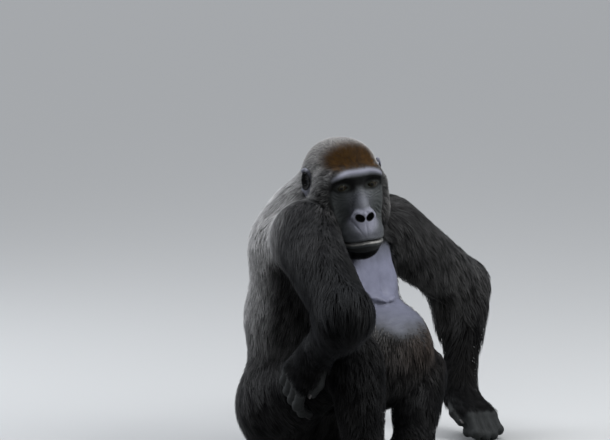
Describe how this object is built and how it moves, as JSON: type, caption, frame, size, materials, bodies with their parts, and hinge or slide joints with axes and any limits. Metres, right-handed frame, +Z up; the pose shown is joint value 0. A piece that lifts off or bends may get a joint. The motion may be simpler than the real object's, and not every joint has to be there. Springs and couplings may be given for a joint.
{
  "type": "gorilla",
  "caption": "Life-size still figure of a seated western gorilla, its right hand on its thigh and its left arm propped out on the floor, head turned aside.",
  "frame": {"origin": "on the floor, at the middle of the animal's footprint", "axes": "+X to the animal's left, -Y the way its chest faces, +Z up"},
  "size_m": [0.973, 0.6064, 0.716],
  "materials": {
    "coat": "shaggy charcoal hair, rusty on the crown and brownish on the lower belly",
    "skin": "bare wrinkled black skin with a soft sheen",
    "eye": "wet dark amber"
  },
  "bodies": {
    "root": {"trunk": "coat", "neck": "coat", "head": "coat", "upper_arm_right": "coat", "upper_arm_left": "coat", "forearm_right": "coat", "forearm_left": "coat", "thigh_right": "coat", "thigh_left": "coat", "shin_right": "coat", "shin_left": "coat", "ear_right": "skin", "ear_left": "skin", "hand_right": "skin", "hand_left": "skin", "foot_right": "skin", "foot_left": "skin", "eye_right": "eye", "eye_left": "eye"}
  },
  "joints": []
}
